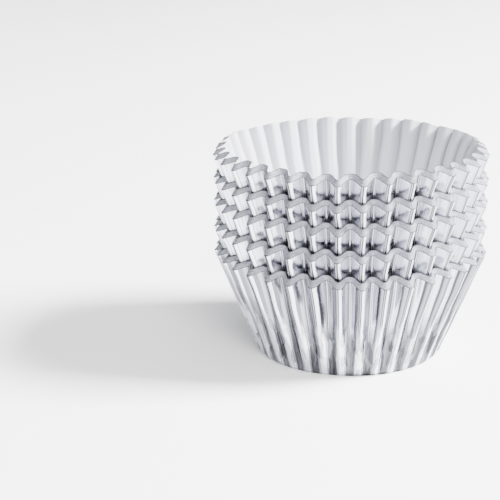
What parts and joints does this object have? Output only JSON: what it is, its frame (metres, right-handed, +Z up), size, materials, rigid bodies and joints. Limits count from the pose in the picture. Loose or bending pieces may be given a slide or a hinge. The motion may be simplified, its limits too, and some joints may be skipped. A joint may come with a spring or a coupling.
{
  "type": "stack of cupcake liners",
  "caption": "Stack of nested fluted foil cupcake liners with white paper inside, each step a tight bundle of liners with its cut rims showing.",
  "frame": {"origin": "middle of the lowest bundle's flat underside, on the surface that the stack stands on", "axes": "+Z up the stack's axis, out of the open mouths; a crest of the flutes is on +X and on -Y"},
  "size_m": [0.0716, 0.0716, 0.0554],
  "materials": {
    "foil_paper": "glossy"
  },
  "bodies": {
    "root": {"liner_bundle_1": "foil_paper", "liner_bundle_2": "foil_paper", "liner_bundle_3": "foil_paper", "liner_bundle_4": "foil_paper", "liner_bundle_5": "foil_paper"}
  },
  "joints": []
}
